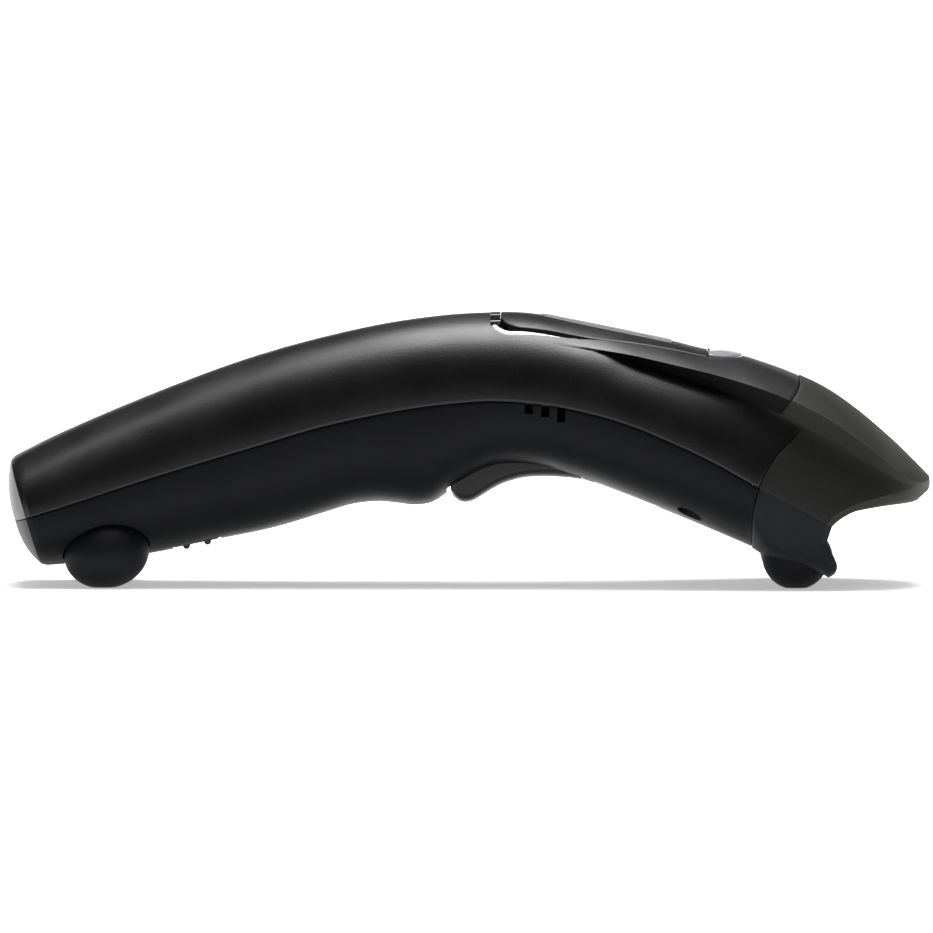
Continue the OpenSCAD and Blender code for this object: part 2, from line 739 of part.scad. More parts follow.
// ---- Battery --------------------------------------------------------------------------------------
module battery_cell() color([0.15, 0.35, 0.6]) at_cell() {
    along_x(cell_l, cell_r);
    translate([cell_l / 2, 0, 0]) rotate([0, 90, 0]) cylinder(h = 0.9, r = 3.2, $fn = 32);
}
module battery_sleeve() color([0.2, 0.4, 0.65]) at_cell() difference() {
    along_x(cell_l + 0.4, cell_r + sleeve_t);
    along_x(cell_l + 2, cell_r);
}
module battery_cradle() color([0.2, 0.2, 0.22]) at_cell() difference() {
    along_x(cell_l - 4, cell_r + sleeve_t + 1.6);
    along_x(cell_l + 2, cell_r + sleeve_t);
    block([-far, -far, -4], [far, far, far]);
}
module battery_tabs() color([0.8, 0.8, 0.78]) at_cell() {
    translate([cell_l / 2 + 0.9, 0, 0]) block([0, -2, -2], [0.2, 2, 8]);
    translate([-cell_l / 2 - 0.2, 0, 0]) block([0, -2, -5], [0.2, 2, 8]);
}
module battery_socket() color([0.92, 0.91, 0.86]) difference() {
    block([-12.4, -3.6, board_top], [-8, 3.6, board_top + 3.6]);
    block([-13, -2.8, board_top + 0.8], [-9.6, 2.8, board_top + 3.1]);
}
// Route of each lead from the cell's front tab to the socket: [x, z]
LEAD = [[-16, 40.4], [-15, 41], [-14, 40.8], [-13.2, 39.8], [-12.6, 38.8], [-11.4, 38.2], [-9.8, 38.2]];
lead_r = 0.55;
module battery_lead() color([0.7, 0.1, 0.1])
    for (y = [-1.3, 1.3]) lead_tube(LEAD, y);
module lead_tube(route, y) {
    n = len(route);
    dir = function (i) let (a = route[max(0, i - 1)], b = route[min(n - 1, i + 1)]) (b - a) / norm(b - a);
    rings = [for (i = [0:n - 1]) let (d = dir(i))
        [for (k = [0:7]) let (a = -45 * k, u = lead_r * cos(a), v = lead_r * sin(a))
            [route[i][0] - d[1] * u, y + v, route[i][1] + d[0] * u]]];
    skin(rings, [route[0][0], y, route[0][1]], [route[n - 1][0], y, route[n - 1][1]]);
}

// ---- Charging contacts ------------------------------------------------------------------------------
CONTACT_X = [-2.1, 2.1];
CONTACT_Y = [-3, 3];
contact_r = 0.7;
module contact_block() color([0.07, 0.07, 0.08]) at_contacts() difference() {
    union() {
        block([-4.3, -6.5, 0.25], [4.3, 6.5, 3.3]);
        block([-4.3, -7.4, 3.3], [4.3, 7.4, 4.1]);
    }
    for (x = CONTACT_X, y = CONTACT_Y) translate([x, y, -5]) cylinder(h = 12, r = contact_r, $fn = 24);
}
module charge_contacts() color([0.85, 0.68, 0.3]) at_contacts()
    for (x = CONTACT_X, y = CONTACT_Y) translate([x, y, 0]) {
        cylinder(h = 4.2, r = contact_r, $fn = 24);
        sphere(contact_r * 0.98, $fn = 24);
    }

// ---- Scan engine, in the frame of the reading direction ------------------------------------------------
module engine_chassis() color([0.35, 0.36, 0.38]) optic() difference() {
    block([-22, -10, -6.5], [-7, 10, 6.5]);
    translate([-23, 0, 0]) along_x_from(20, 4.1);
    block([-24, -8.5, -5.5], [-19.9, 8.5, 5.5]);
    for (y = [-7, 7]) translate([-16, y, 0]) along_x_from(20, 2.1);
    for (y = [-1, 1]) translate([-13, y * 7.5, 3.6]) along_y(6) circle(0.8, $fn = 24);
}
module along_x_from(l, r) rotate([0, 90, 0]) cylinder(h = l, r = r, $fn = 32);
module engine_lens() color([0.1, 0.1, 0.14]) optic() union() {
    translate([-18, 0, 0]) along_x_from(11.6, 4);
    translate([-6.4, 0, 0]) difference() {
        along_x_from(0.8, 3.4);
        translate([0.3, 0, 0]) along_x_from(2, 2.6);
    }
}
module sensor_board() color([0.06, 0.28, 0.2]) optic() {
    block([-21.6, -8.3, -5.3], [-20.4, 8.3, 5.3]);
    block([-20.4, -3, -2.4], [-19.4, 3, 2.4]);
}
module illumination_leds() color([0.95, 0.95, 0.9]) optic()
    translate([-15.9, 7, 0]) {
        along_x_from(9.6, 2);
        translate([9.6, 0, 0]) rotate([0, 90, 0]) cylinder(h = 1, r1 = 2, r2 = 1.2, $fn = 32);
    }
module aiming_laser() color([0.75, 0.6, 0.3]) optic()
    translate([-15.9, -7, 0]) difference() {
        along_x_from(10.2, 2);
        translate([9.4, 0, 0]) along_x_from(2, 0.8);
    }
// Flat ribbon from the sensor board to the main board: [x, z] in the housing's frame
RIBBON = [[47.4, 30.2], [45, 31.4], [43, 33.4], [41.2, 35.6], [39.6, 36.7], [37.4, 36.85], [36, 36.85]];
ribbon_t = 0.3;
module engine_ribbon() color([0.8, 0.55, 0.2])
    along_y(9) polygon(concat(RIBBON, [for (i = [len(RIBBON) - 1:-1:0]) RIBBON[i] + [0, ribbon_t]]));
module engine_screws() color([0.7, 0.71, 0.73]) optic()
    for (y = [-1, 1]) translate([-13, 0, 3.6]) {
        translate([0, y * 9.6, 0]) along_y(5) circle(0.75, $fn = 24);
        translate([0, y * 12.9, 0]) along_y(1.6) circle(1.5, $fn = 24);
    }

// ---- Window -----------------------------------------------------------------------------------------
window_w = 36;
window_h = 19;
window_t = 1.2;
module rounded(w, h, r) {
    square([w - 2 * r, h], center = true);
    square([w, h - 2 * r], center = true);
    for (x = [-1, 1], y = [-1, 1]) translate([x * (w / 2 - r), y * (h / 2 - r)]) circle(r, $fn = 32);
}
// A sheet across the reading direction from a to b
module sheet(a, b) translate([a, 0, 0]) rotate([90, 0, 90]) linear_extrude(b - a) children();
module scan_window() color([0.35, 0.05, 0.05, 0.6]) optic()
    sheet(-window_t, 0) rounded(window_w, window_h, 2);
module window_gasket() color([0.05, 0.05, 0.05]) optic() sheet(-2, -window_t) difference() {
    rounded(window_w, window_h, 2);
    rounded(window_w - 4, window_h - 4, 1);
}
module window_frame() color([0.09, 0.09, 0.1]) optic() difference() {
    union() {
        sheet(-3.4, 0.6) rounded(window_w + 4.6, window_h + 4, 5);
        // arms that carry the engine
        for (y = [-1, 1]) block([-15.4, y * 11.1 - 0.9, 1.6], [-3.2, y * 11.1 + 0.9, 9]);
    }
    sheet(-2, 2) rounded(window_w + 0.2, window_h + 0.2, 2.1);
    sheet(-5, 0) rounded(window_w - 4, window_h - 4, 1);
    for (y = [-1, 1]) translate([-13, y * 11, 3.6]) along_y(6) circle(0.8, $fn = 24);
}

// ---- Fasteners and label ------------------------------------------------------------------------------
module shell_screws() color([0.25, 0.26, 0.28])
    for (s = SHELL_SCREWS) {
        post(s, s[2] - screw_head_t, s[2] + s[3], screw_r);
        difference() {
            post(s, s[2] - screw_head_t, s[2], screw_head_r);
            translate([s[0], s[1], s[2] - screw_head_t - 0.1]) {
                block([-1.3, -0.25, 0], [1.3, 0.25, 1]);
                block([-0.25, -1.3, 0], [0.25, 1.3, 1]);
            }
        }
    }
module rating_label() color([0.55, 0.56, 0.58]) {
    intersection() {
        difference() {
            inner_form(0.05, 20, 42);
            inner_form(label_t + 0.05, 19, 43);
        }
        translate([0, 0, 5]) linear_extrude(20) label_plan();
    }
}

bottom_shell();
top_shell();
nose_boot();
top_plate();
badge_strip();
light_guide();
indicator_lens();
rear_foot_left();
rear_foot_right();
front_foot_left();
front_foot_right();
trigger();
trigger_pin();
trigger_bracket();
trigger_spring();
switch_body();
switch_plunger();
main_board();
board_screws();
processor();
memory_chips();
radio_module();
status_leds();
beeper();
battery_cell();
battery_sleeve();
battery_cradle();
battery_tabs();
battery_socket();
battery_lead();
contact_block();
charge_contacts();
engine_chassis();
engine_lens();
sensor_board();
illumination_leds();
aiming_laser();
engine_ribbon();
engine_screws();
window_frame();
window_gasket();
scan_window();
shell_screws();
rating_label();
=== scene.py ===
"""Looks of a cordless handheld barcode scanner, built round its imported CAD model.

The housing's skins follow the same curves as the CAD model, with many more points. Lengths in
the tables are in millimetres, in the frame of the CAD model; MM turns them into metres.
"""

import json
import math

import bmesh
import bpy
import numpy as np
from mathutils import Matrix, Vector

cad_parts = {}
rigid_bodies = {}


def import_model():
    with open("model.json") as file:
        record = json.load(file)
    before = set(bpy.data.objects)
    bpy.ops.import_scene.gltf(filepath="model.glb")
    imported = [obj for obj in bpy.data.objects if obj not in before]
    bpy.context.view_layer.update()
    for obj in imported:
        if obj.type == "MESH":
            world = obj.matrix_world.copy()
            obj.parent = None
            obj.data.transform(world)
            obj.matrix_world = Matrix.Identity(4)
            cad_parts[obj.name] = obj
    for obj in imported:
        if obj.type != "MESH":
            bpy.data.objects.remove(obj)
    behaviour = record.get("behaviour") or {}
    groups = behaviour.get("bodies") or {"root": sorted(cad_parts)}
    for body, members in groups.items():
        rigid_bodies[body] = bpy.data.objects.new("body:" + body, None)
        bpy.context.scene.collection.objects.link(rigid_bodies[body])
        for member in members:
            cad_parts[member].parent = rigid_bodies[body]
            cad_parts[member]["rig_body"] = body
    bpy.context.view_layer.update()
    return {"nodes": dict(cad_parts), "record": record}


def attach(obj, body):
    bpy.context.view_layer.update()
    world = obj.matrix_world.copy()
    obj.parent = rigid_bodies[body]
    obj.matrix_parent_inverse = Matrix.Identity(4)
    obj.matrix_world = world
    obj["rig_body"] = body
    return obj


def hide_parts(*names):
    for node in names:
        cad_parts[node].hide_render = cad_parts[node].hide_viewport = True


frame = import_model()
CAD = frame["nodes"]
MM = 0.001

# ---- Driving sizes -----------------------------------------------------------------------------
WALL = 2.2              # wall of the housing
GAP = 0.1               # gap between neighbouring mouldings
BOOT_LIFT = 0.2         # how far the nose boot stands proud
HANDLE_HALF_WIDTH = 18.4
HEAD_HALF_WIDTH = 27.6
HOOD_OVERHANG = 2.1
PLATE_HALF_WIDTH = 11.5
PLATE_REAR, PLATE_FRONT = 6.2, 53.4
PLATE_ROUND = 11        # radius of the plate's front end
TROUGH_REAR = 4.1
CREASE = 28             # degrees past which an edge stays sharp

# ---- Curves of the housing, as (x, value) points -----------------------------------------------
BACK = [
    (-92, 23.4), (-80, 29.4), (-60, 37.9), (-40, 45.1), (-20, 50.2), (-5, 52.5), (8, 53.1),
    (14, 52.6), (20, 51.5), (30, 49.5), (40, 47.4), (46, 45.9), (52, 45.0), (58, 43.2),
    (64, 40.9), (70, 38.0), (76, 33.8), (82, 28.7), (86, 24.9), (90, 20.8),
]
BELLY = [
    (-84, 3.6), (-78, 4.1), (-62, 6.1), (-50, 8.6), (-38, 11.1), (-28, 14.1), (-23, 15.6),
    (-18, 16.2), (-14, 15.9), (-10.5, 15.5), (-7, 16.1), (-3.7, 18.3), (0, 20.5), (4, 22.5),
    (8, 23.2), (14, 22.8), (21, 20.9), (25, 19.6), (40, 13.8), (55, 7.5), (58, 6.0),
    (64, 4.6), (68, 3.2), (71, 1.8), (90, 1.0),
]
PARTING = [
    (-90, 12.4), (-80, 15.5), (-60, 22), (-40, 28), (-30, 31), (-20, 33.3), (-10, 35.1),
    (0, 36.2), (5, 36.4), (12, 36), (20, 34.8), (30, 32.2), (40, 28.2), (48, 24.4), (56, 20),
    (65, 15.5), (72, 11.5), (90, 3),
]
SIDE = [
    (-92, 19), (-80, 19.4), (-60, HANDLE_HALF_WIDTH + 0.4), (-40, HANDLE_HALF_WIDTH),
    (-20, HANDLE_HALF_WIDTH), (0, 18.8), (15, 19.8), (30, 22), (45, HEAD_HALF_WIDTH - 2.6),
    (58, HEAD_HALF_WIDTH - 0.6), (70, HEAD_HALF_WIDTH), (90, HEAD_HALF_WIDTH),
]
HOOD_Z = [
    (18, 47.2), (23, 46.8), (30, 45.7), (40, 43.5), (50, 41.1), (60, 37.8), (70, 32.9),
    (80, 25.7), (84.5, 21.7), (87, 20.5), (90, 20.3),
]
HOOD_Y = [(18, 14.6), (24, 15.6), (40, 19.5), (56, 23.5), (66, 25), (76, 25.4), (90, 25.4)]
RIDGE_Z = [
    (18, 47.2), (23, 46.7), (30, 44.6), (40, 41.3), (50, 38), (60, 34.2), (70, 28.9),
    (80, 23), (85, 20.3), (90, 19.7),
]
# Seam of the nose boot, as (z, x): smooth up to its step, straight lines above it
SEAM_LOW = [
    (-5, 55.2), (10, 55), (14, 55), (17, 55.4), (19.5, 56.1), (22, 57.1), (24.2, 58.4),
    (26.5, 60), (29, 62.5), (31.4, 64.5),
]
SEAM_HIGH = [(31.4, 64.5), (33.8, 60.3), (36.7, 62.5), (38.3, 63.8), (39.8, 64.5), (41, 64.3), (60, 64.3)]
# Edge of the mouth and the line where its rim starts, as (z, x)
MOUTH = [
    (1.7, 71), (3.9, 71.5), (7.4, 70.1), (9.5, 69.5), (11.4, 69.9), (13, 71), (14.6, 73),
    (15.8, 75.4), (17, 80), (18.4, 87), (19.3, 89.1), (20.3, 90.2), (20.6, 91),
]
MOUTH_RIM = [
    (1.5, 69.9), (3.9, 69.8), (7.4, 68.9), (9.9, 68.4), (12, 68.9), (13.8, 70.1), (15.4, 72.3),
    (16.7, 75.2), (17.9, 79.8), (19.3, 86), (19.9, 88.7), (20.5, 90.1), (20.9, 91),
]
TAIL_X, TAIL_LEAN, TAIL_BULGE = -86.2, 0.30, 2.8
TAIL_Z = 13.2           # height of the middle of the tail face, on the parting line
NOSE_TIP, NOSE_TURN = 90.0, 74.0
BACK_EXP, BELLY_EXP = 2.25, 2.5


def curve(points, x):
    """Smooth curve through (x, value) points, as in the CAD model."""
    p = np.asarray(points, float)
    px, pv = p[:, 0], p[:, 1]
    x = np.asarray(x, float)
    rise = np.diff(pv) / np.diff(px)
    slope = np.concatenate([[rise[0]], (pv[2:] - pv[:-2]) / (px[2:] - px[:-2]), [rise[-1]]])
    i = np.clip(np.searchsorted(px, x, side="right") - 1, 0, len(px) - 2)
    h = px[i + 1] - px[i]
    t = (x - px[i]) / h
    return (
        (2 * t**3 - 3 * t**2 + 1) * pv[i] + (t**3 - 2 * t**2 + t) * h * slope[i]
        + (3 * t**2 - 2 * t**3) * pv[i + 1] + (t**3 - t**2) * h * slope[i + 1]
    )


def ease(a, b, x):
    t = np.clip((np.asarray(x, float) - a) / (b - a), 0, 1)
    return t * t * (3 - 2 * t)


def mix(a, b, t):
    return a * (1 - t) + b * t


def lean(x):
    return TAIL_LEAN * (1 - ease(TAIL_X, -8, x))


def middle(x):
    return mix(14.4, 32, ease(TAIL_X, -8, x))


def on_ring(points, x, d=0.0):
    """Height at which the leaning ring at x meets a curve of the body."""
    z = 20.0
    for _ in range(4):
        z = curve(points, x - lean(x) * (z - middle(x))) + d
    return z


def nose_end(x):
    s = np.clip((np.asarray(x, float) - NOSE_TURN) / 16.05, 0, 1)
    return np.sqrt(np.maximum(0.0004, 1 - s**2.6))


def section(u, x, d=0.0):
    """Half-width y and height z of the housing's skin, moved inwards by d.

    u runs round half a ring: 0 middle of the belly, 1 parting line, 2 ridge, 3 edge of the
    hood, 4 middle of the back.
    """
    u, x, d = np.broadcast_arrays(np.asarray(u, float), np.asarray(x, float), np.asarray(d, float))
    zt, zb, zp = on_ring(BACK, x, -d), on_ring(BELLY, x, d), on_ring(PARTING, x)
    w = curve(SIDE, x) * nose_end(x) - d
    k = ease(14, 34, x)
    hx = np.maximum(18, x)
    zh = mix(zt - 4.3, curve(HOOD_Z, hx) - d, k)
    zr = np.minimum(zh - 0.4, mix(zh, curve(RIDGE_Z, hx) - d * 0.9, k))
    yh = curve(HOOD_Y, hx) * nose_end(x) - d
    yr = yh - HOOD_OVERHANG * ease(21, 31, x) * (1 - ease(76, 88, x))

    def turn(z):
        return np.arcsin(np.clip((z - zp) / (zt - zp), 0, 1) ** (BACK_EXP / 2))

    def round_back(a):
        return (
            w * np.clip(np.cos(a), 0, 1) ** (2 / BACK_EXP),
            zp + (zt - zp) * np.clip(np.sin(a), 0, 1) ** (2 / BACK_EXP),
        )

    a = np.pi / 2 * np.clip(1 - u, 0, 1)
    box = BELLY_EXP + 5 * ease(54, 62, x)
    low_y = w * np.cos(a) ** (2 / box)
    low_z = zp - (zp - zb) * np.sin(a) ** (2 / box)
    low_y = low_y - 0.22 * np.minimum(zp - low_z, 9) * ease(55, 60, x) * (low_y / w)

    t = np.clip(u - 1, 0, 1)
    s = np.sin(np.pi / 2 * t)
    ry, rz = round_back(turn(zr) * t)
    full = 0.6 * (1 - ease(46, 62, x))      # how full the shoulder under the ridge is
    lean_in = mix(s * s, 1 - np.cos(np.pi / 2 * t), full)
    side_y = mix(ry, w - (w - yr) * lean_in, k)
    side_z = mix(rz, zp + (zr - zp) * mix(t, s, 0.35 + full * 0.65), k)

    t = np.clip(u - 3, 0, 1)
    ry, rz = round_back(mix(turn(zh), np.pi / 2, t))
    roof_y = mix(ry, yh * (1 - t), k)
    roof_z = mix(rz, zt - (zt - zh) * (1 - t) ** 2, k)

    t = np.clip(u - 2, 0, 1)
    where = [u < 1, u <= 2, u >= 3]
    y = np.select(where, [low_y, side_y, roof_y], mix(side_y, roof_y, t))
    z = np.select(where, [low_z, side_z, roof_z], mix(side_z, roof_z, t))
    return np.maximum(y, 0), z


def skin(u, x, d=0.0, s=1.0):
    """Points of the skin. s under 1 shrinks the ring at the tail towards the middle of its dome."""
    y, z = section(u, x, d)
    u, x, d, s = np.broadcast_arrays(np.asarray(u, float), np.asarray(x, float), d, s)
    px = x - lean(x) * (z - middle(x))
    out = TAIL_BULGE * (1 - s**2.6)
    tz = mix(TAIL_Z, z, s)
    tx = TAIL_X - TAIL_LEAN * (tz - 14.4) - out + d
    dome = s < 1
    return np.stack([
        np.where(dome, tx, px), np.where(dome, y * s, y), np.where(dome, tz - out * TAIL_LEAN, z)
    ], -1)


def first_crossing(u, line, x0, x1, last):
    """First x on row u where the skin meets a line given as a function of height, or last."""
    xs = np.linspace(x0, x1, 900)
    g = xs - line(section(u, xs)[1])
    hit = np.nonzero((g[:-1] < 0) & (g[1:] >= 0))[0]
    if not len(hit):
        return last
    i = hit[0]
    return min(last, xs[i] + (xs[i + 1] - xs[i]) * g[i] / (g[i] - g[i + 1]))


def seam_line(z):
    zs, xs = np.array(SEAM_HIGH, float).T
    return np.where(z < 31.4, curve(SEAM_LOW, z), np.interp(z, zs, xs))


def mouth_line(z):
    return np.where(z > 20.6, 95, curve(MOUTH, np.clip(z, 1.7, 20.6)))


def rim_line(z):
    return np.where(z > 20.9, 95, curve(MOUTH_RIM, np.clip(z, 1.5, 20.9)))


# ---- Meshes ------------------------------------------------------------------------------------------
def make_object(name, verts, faces, crease=CREASE):
    mesh = bpy.data.meshes.new(name)
    mesh.from_pydata([tuple(v) for v in verts], [], [tuple(int(i) for i in f) for f in faces])
    obj = bpy.data.objects.new(name, mesh)
    bpy.context.scene.collection.objects.link(obj)
    bm = bmesh.new()
    bm.from_mesh(mesh)
    bmesh.ops.remove_doubles(bm, verts=bm.verts, dist=1e-7)
    bmesh.ops.dissolve_degenerate(bm, edges=bm.edges, dist=1e-7)
    bmesh.ops.recalc_face_normals(bm, faces=bm.faces)
    bm.to_mesh(mesh)
    bm.free()
    smooth(obj, crease)
    return obj


def smooth(obj, crease=CREASE):
    """Smooth shading, with edges sharper than the crease angle kept sharp."""
    mesh = obj.data
    mesh.shade_smooth()
    bm = bmesh.new()
    bm.from_mesh(mesh)
    limit = math.radians(crease)
    for e in bm.edges:
        e.smooth = not (e.is_manifold and e.calc_face_angle(0) > limit)
    bm.to_mesh(mesh)
    bm.free()


def cut(obj, *tools):
    """Takes the closed tool shapes away from a piece."""
    for tool in tools:
        m = obj.modifiers.new("cut", "BOOLEAN")
        m.operation = "DIFFERENCE"
        m.solver = "EXACT"
        m.object = tool
        with bpy.context.temp_override(object=obj, active_object=obj, selected_objects=[obj]):
            bpy.ops.object.modifier_apply(modifier=m.name)
        bpy.data.objects.remove(tool)
    smooth(obj)
    return obj


def loft(name, rows, path_of, closed):
    """A solid from rows round the ring, each a path along the body, closed both ways or neither.

    rows holds (u, side, along, inset): along moves a row along the ring and inset into it, to
    round its border. path_of(u) gives the x, depth and dome scale of the points of a row's path.
    """
    grid = []
    for u, side, along, inset in rows:
        x, d, s = path_of(u)
        p = skin(u, x, np.where(d < WALL / 2, d + inset, d - inset), s)
        if along:
            q = skin(u + (0.02 if along > 0 else -0.02), x, d, s) - skin(u, x, d, s)
            p = p + abs(along) * q / np.maximum(np.linalg.norm(q, axis=1, keepdims=True), 1e-9)
        p[:, 1] *= side
        grid.append(p)
    n, m = len(grid), len(grid[0])
    faces = []
    for i in range(n if closed else n - 1):
        a, b = i * m, (i + 1) % n * m
        for j in range(m if closed else m - 1):
            k = (j + 1) % m
            faces.append((a + j, a + k, b + k, b + j))
    if not closed:
        for i in (0, n - 1):        # border between the outer and the inner skin
            a, half = i * m, m // 2
            for j in range(half - (0 if m % 2 else 1)):
                quad = (a + j, a + j + 1, a + m - 2 - j, a + m - 1 - j)
                faces.append(quad if len(set(quad)) == 4 else quad[:3])
    return make_object(name, np.concatenate(grid) * MM, faces)


# ---- Rows and paths of the three skins -----------------------------------------------------------
EDGE = 0.2              # rounding of the mouldings' edges


def border(direction):
    """Rows that round a border on the parting line, which lies at u = 1."""
    return [(1, direction * (GAP / 2 + a * EDGE), b * EDGE) for a, b in ((0, 1), (0.3, 0.3), (1, 0))]


def both_halves(half):
    """Rows of one side, from a border to the middle of the back or belly, and on down the other."""
    near = [(u, -1, along, inset) for u, along, inset in half]
    far = [(u, 1, along, inset) for u, along, inset in reversed(half[:-1])]
    return near + far


def plain(us):
    return [(float(u), 0, 0) for u in us]


# Rows of points round half a ring, columns along the body, and rings of the tail's dome
SIDES = list(1 + np.linspace(0.035, 0.94, 22)) + [1.96, 1.975, 1.99, 2]
BAND = [2.06, 2.5, 2.94]
ROOF = list(3 + np.linspace(0, 1, 30))
LOWER = list(1 - np.linspace(0.03, 1, 34) ** 1.25)
COLUMNS = np.concatenate([
    np.arange(TAIL_X + 0.8, -30, 1.5), np.arange(-30, 12, 1.0), np.arange(12, 64, 0.85), [64.5]
])
DOME = np.array([0, 0.15, 0.3, 0.45, 0.6, 0.72, 0.82, 0.9, 0.965])


def shell_path(u):
    end = first_crossing(u, seam_line, 50, 67, 64.3)
    x = COLUMNS + (end - 64.5) * ease(44, 64.5, COLUMNS)
    outer = np.concatenate([np.full(len(DOME), TAIL_X), x[:-1], [end - EDGE, end - 0.3 * EDGE, end]])
    depth = np.concatenate([np.zeros(len(outer) - 2), [0.3 * EDGE, EDGE]])
    s = np.concatenate([DOME, np.ones(len(outer) - len(DOME))])
    return (
        np.concatenate([outer, outer[::-1]]),
        np.concatenate([depth, np.full(len(outer), WALL)]),
        np.concatenate([s, s[::-1]]),
    )


def boot_path(u):
    start = first_crossing(u, seam_line, 50, 67, 64.3) + GAP
    rim = first_crossing(u, rim_line, 62, 90.4, NOSE_TIP - 0.1)
    mouth = max(first_crossing(u, mouth_line, 62, 90.4, NOSE_TIP), rim + 0.1)
    t = np.linspace(0, 1, 70)
    x = start + 0.25 + (rim - start - 0.25) * (1 - (1 - t) ** 1.5)
    deep = 0.35 + 0.55 * float(ease(0.1, 1.2, mouth - rim))
    lip = [start, start, start + 0.07]
    edge = [mix(rim, mouth, 0.5), mouth - 0.05, mouth]
    inner = np.linspace(min(mouth - 0.3, 87.3), start, 22)
    return (
        np.concatenate([lip, x, edge, inner]),
        np.concatenate([
            [0.6, 0.02, -0.13], np.full(len(x), -BOOT_LIFT),
            [mix(-BOOT_LIFT, deep, 0.45), deep - 0.08, deep + 0.2], np.full(len(inner), WALL - BOOT_LIFT)
        ]),
        np.ones(len(lip) + len(x) + len(edge) + len(inner)),
    )


def box_tool(lo, hi):
    """A closed box, in millimetres, to cut with."""
    corners = [(x, y, z) for x in (lo[0], hi[0]) for y in (lo[1], hi[1]) for z in (lo[2], hi[2])]
    quads = [(0, 1, 3, 2), (4, 6, 7, 5), (0, 4, 5, 1), (2, 3, 7, 6), (0, 2, 6, 4), (1, 5, 7, 3)]
    return make_object("tool", np.array(corners) * MM, quads)


def turned(profile, axis_at=(0, 0, 0), squeeze=(1, 1, 1), tilt=0.0, count=96, name="tool"):
    """A turned solid: (radius, z) profile round Z, squeezed, tilted about Y and moved."""
    a = np.arange(count) * 2 * np.pi / count
    verts = [(r * math.cos(t), r * math.sin(t), z) for r, z in profile for t in a]
    faces = []
    for i in range(len(profile) - 1):
        for j in range(count):
            k = (j + 1) % count
            faces.append((i * count + j, i * count + k, (i + 1) * count + k, (i + 1) * count + j))
    faces += [tuple(range(count)), tuple(range((len(profile) - 1) * count, len(profile) * count))]
    m = Matrix.Translation(Vector(axis_at)) @ Matrix.Rotation(tilt, 4, "Y") @ Matrix.Diagonal((*squeeze, 1))
    return make_object(name, [m @ Vector(v) * MM for v in verts], faces)


def ball_profile(steps=40):
    """Half of a unit circle, kept just off the axis at its ends, to turn into a ball."""
    angles = [math.pi * i / steps for i in range(steps + 1)]
    return [(max(1e-4, math.sin(a)), -math.cos(a)) for a in angles]


# ---- Pieces draped over the back ----------------------------------------------------------------
ROOF_X, ROOF_Y = np.arange(2, 58, 0.5), np.arange(0, 18, 0.1)
ROOF_Z = np.stack([
    np.interp(ROOF_Y, *(v[::-1] for v in section(np.linspace(3, 4, 160), np.full(160, x)))) for x in ROOF_X
])


def roof_height(x, y):
    """Height of the back over points of its plan."""
    i, j = (np.asarray(x, float) - ROOF_X[0]) / 0.5, np.abs(np.asarray(y, float)) / 0.1
    i0, j0 = np.clip(i.astype(int), 0, len(ROOF_X) - 2), np.clip(j.astype(int), 0, len(ROOF_Y) - 2)
    rear = mix(ROOF_Z[i0, j0], ROOF_Z[i0, j0 + 1], j - j0)
    return mix(rear, mix(ROOF_Z[i0 + 1, j0], ROOF_Z[i0 + 1, j0 + 1], j - j0), i - i0)


def belly_height(x, y):
    """Height of the belly over points of its plan."""
    across, height = section(np.linspace(0, 1, 90)[None, :], np.asarray(x, float)[:, None])
    return np.array([np.interp(abs(v), row, z) for v, row, z in zip(y, across, height)])


def arc(cx, cy, r, a0, a1, n):
    a = np.radians(np.linspace(a0, a1, n))
    return [(cx + r * math.cos(t), cy + r * math.sin(t)) for t in a]


def front_end(r, a0):
    """Blunt round end of the plate, from the angle a0 to the middle."""
    a = np.radians(np.linspace(a0, 0, 30))
    x = PLATE_FRONT - PLATE_ROUND
    return [(x + r * math.cos(t) ** (2 / 3), r * math.sin(t) ** (2 / 3)) for t in a]


def plate_outline(g=0.0):
    """Plan of the plate, grown by g: rounded corners at the rear and a round front."""
    w, r = PLATE_HALF_WIDTH, 4.5
    half = (
        arc(PLATE_REAR + r, w - r, r + g, 180, 95, 14)
        + [(24, w + 0.4 + g)]
        + front_end(PLATE_ROUND + g, 82)
    )
    return np.array(half + [(x, -y) for x, y in reversed(half[:-1])])


def resample(outline, n):
    """n evenly spaced points on a closed outline, from the middle of its rear end."""
    start = [(outline[0] + outline[-1]) / 2]
    p = np.vstack([start, outline, start])
    step = np.r_[0, np.cumsum(np.linalg.norm(np.diff(p, axis=0), axis=1))]
    s = np.linspace(0, step[-1], n, endpoint=False)
    return np.stack([np.interp(s, step, p[:, 0]), np.interp(s, step, p[:, 1])], 1)


def drape(name, outline, spine, profile, n=200, top=None, height=roof_height):
    """A closed piece that follows the back, or whatever else height gives.

    profile lists (t, out, lift): t runs from the spine to the outline, out grows it sideways and
    lift raises it over the back. top, if given, is a height that it never rises over.
    """
    o = resample(outline, n)
    x0, x1 = spine
    root = np.stack([np.clip(o[:, 0], x0, x1), np.zeros(n)], 1)
    tangent = np.roll(o, -1, 0) - np.roll(o, 1, 0)
    normal = np.stack([-tangent[:, 1], tangent[:, 0]], 1)
    normal /= np.linalg.norm(normal, axis=1, keepdims=True)
    normal *= np.sign(np.sum(normal * (o - root), 1, keepdims=True) + 1e-12)
    rings = []
    for t, out, lift in profile:
        p = root + t * (o - root) + out * normal
        z = height(p[:, 0], p[:, 1]) + lift
        rings.append(np.column_stack([p, z if top is None else np.minimum(z, top)]))
    faces = []
    for i in range(len(rings) - 1):
        for j in range(n):
            k = (j + 1) % n
            faces.append((i * n + j, i * n + k, (i + 1) * n + k, (i + 1) * n + j))
    return make_object(name, np.concatenate(rings) * MM, faces)


